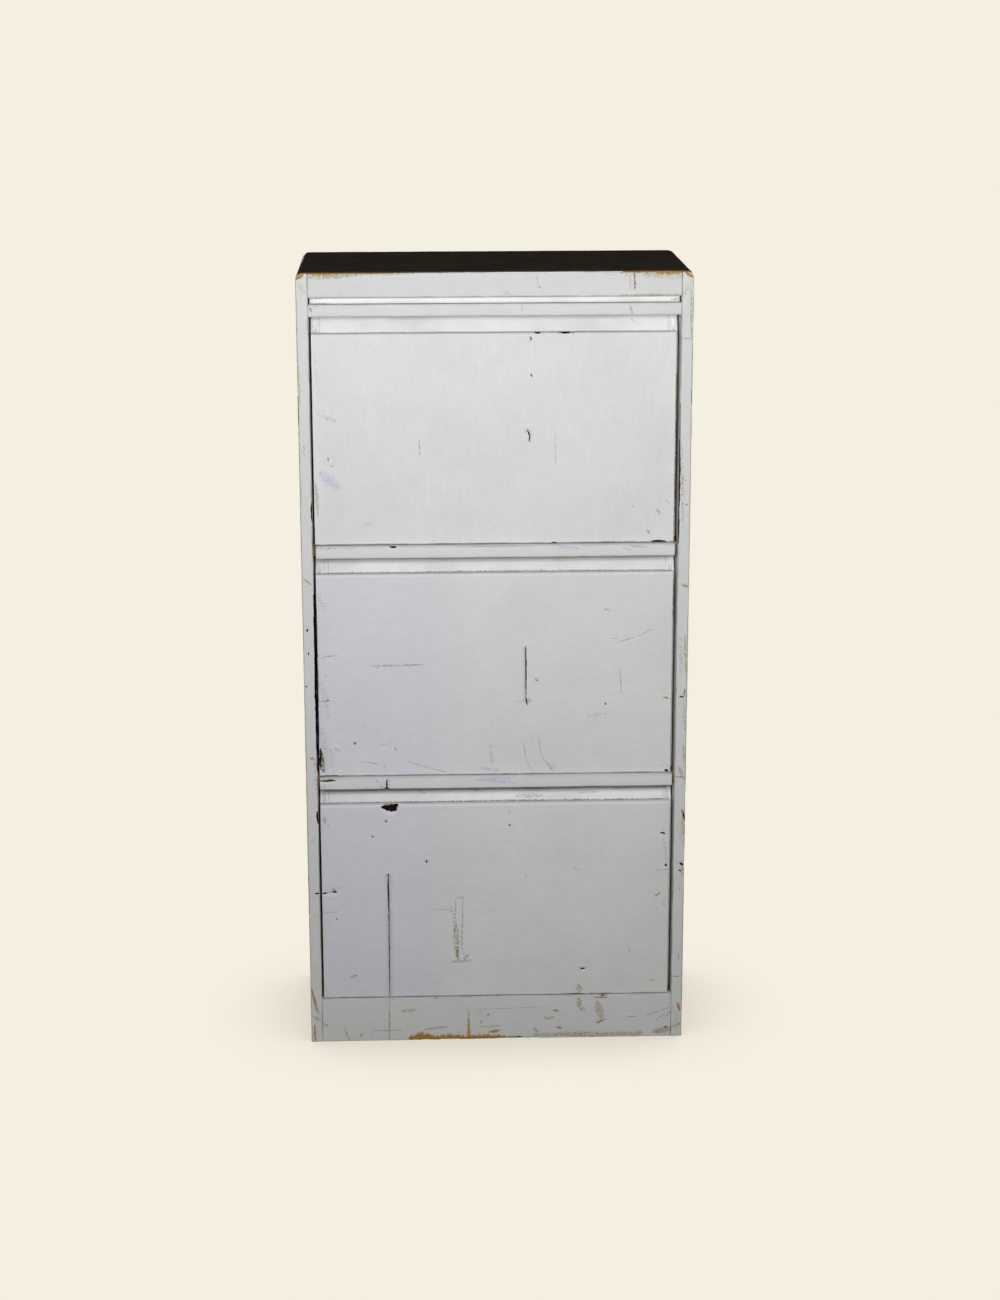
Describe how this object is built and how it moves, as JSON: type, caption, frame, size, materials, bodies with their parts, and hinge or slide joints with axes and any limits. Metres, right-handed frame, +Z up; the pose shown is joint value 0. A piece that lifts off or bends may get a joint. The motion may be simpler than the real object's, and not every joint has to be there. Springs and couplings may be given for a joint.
{
  "type": "flat file cabinet",
  "caption": "Tall narrow painted wood cabinet: deep inset drawers opened by finger grooves above their panels, and a pull-out board under the top rail.",
  "frame": {"origin": "middle of the footprint on the floor, at the centre of the base of the bounding box", "axes": "+Z up; the drawers face -Y; +X is to the right for someone facing the drawers"},
  "size_m": [0.59, 0.286, 1.219],
  "materials": {
    "grey_paint": "worn light grey brushed paint on wood",
    "bare_wood": "bare, darkened softwood and plywood",
    "black_covering": "matt black sheet covering, worn along the front edge",
    "steel": "dull zinc-plated screws"
  },
  "bodies": {
    "case": {"left_side": "grey_paint", "right_side": "grey_paint", "top_board": "grey_paint", "top_covering": "black_covering", "top_rail": "grey_paint", "shelf_1": "bare_wood", "shelf_1_lip": "grey_paint", "shelf_2": "bare_wood", "shelf_2_lip": "grey_paint", "shelf_3": "bare_wood", "shelf_3_lip": "grey_paint", "bottom_board": "bare_wood", "base_rail": "grey_paint", "back_panel": "bare_wood", "left_kicker": "bare_wood", "right_kicker": "bare_wood", "drawer_1_left_stop": "bare_wood", "drawer_1_right_stop": "bare_wood", "drawer_2_left_stop": "bare_wood", "drawer_2_right_stop": "bare_wood", "drawer_3_left_stop": "bare_wood", "drawer_3_right_stop": "bare_wood"},
    "pull_out_board": {"pull_out_board": "grey_paint", "pull_out_board_stop": "bare_wood"},
    "drawer_1": {"drawer_1_front_panel": "grey_paint", "drawer_1_finger_pull": "grey_paint", "drawer_1_left_side": "bare_wood", "drawer_1_right_side": "bare_wood", "drawer_1_back": "bare_wood", "drawer_1_bottom": "bare_wood", "drawer_1_left_corner_block": "bare_wood", "drawer_1_right_corner_block": "bare_wood", "drawer_1_lower_left_screw": "steel", "drawer_1_lower_right_screw": "steel", "drawer_1_upper_left_screw": "steel", "drawer_1_upper_right_screw": "steel"},
    "drawer_2": {"drawer_2_front_panel": "grey_paint", "drawer_2_finger_pull": "grey_paint", "drawer_2_left_side": "bare_wood", "drawer_2_right_side": "bare_wood", "drawer_2_back": "bare_wood", "drawer_2_bottom": "bare_wood", "drawer_2_left_corner_block": "bare_wood", "drawer_2_right_corner_block": "bare_wood", "drawer_2_lower_left_screw": "steel", "drawer_2_lower_right_screw": "steel", "drawer_2_upper_left_screw": "steel", "drawer_2_upper_right_screw": "steel"},
    "drawer_3": {"drawer_3_front_panel": "grey_paint", "drawer_3_finger_pull": "grey_paint", "drawer_3_left_side": "bare_wood", "drawer_3_right_side": "bare_wood", "drawer_3_back": "bare_wood", "drawer_3_bottom": "bare_wood", "drawer_3_left_corner_block": "bare_wood", "drawer_3_right_corner_block": "bare_wood", "drawer_3_lower_left_screw": "steel", "drawer_3_lower_right_screw": "steel", "drawer_3_upper_left_screw": "steel", "drawer_3_upper_right_screw": "steel"}
  },
  "joints": [
    {"name": "drawer_1_slide", "type": "slide", "parent": "case", "child": "drawer_1", "axis": [0, -1, 0], "range_m": [0, 0.2]},
    {"name": "drawer_2_slide", "type": "slide", "parent": "case", "child": "drawer_2", "axis": [0, -1, 0], "range_m": [0, 0.2]},
    {"name": "drawer_3_slide", "type": "slide", "parent": "case", "child": "drawer_3", "axis": [0, -1, 0], "range_m": [0, 0.2]},
    {"name": "pull_out_board_slide", "type": "slide", "parent": "case", "child": "pull_out_board", "axis": [0, -1, 0], "range_m": [0, 0.2]}
  ]
}
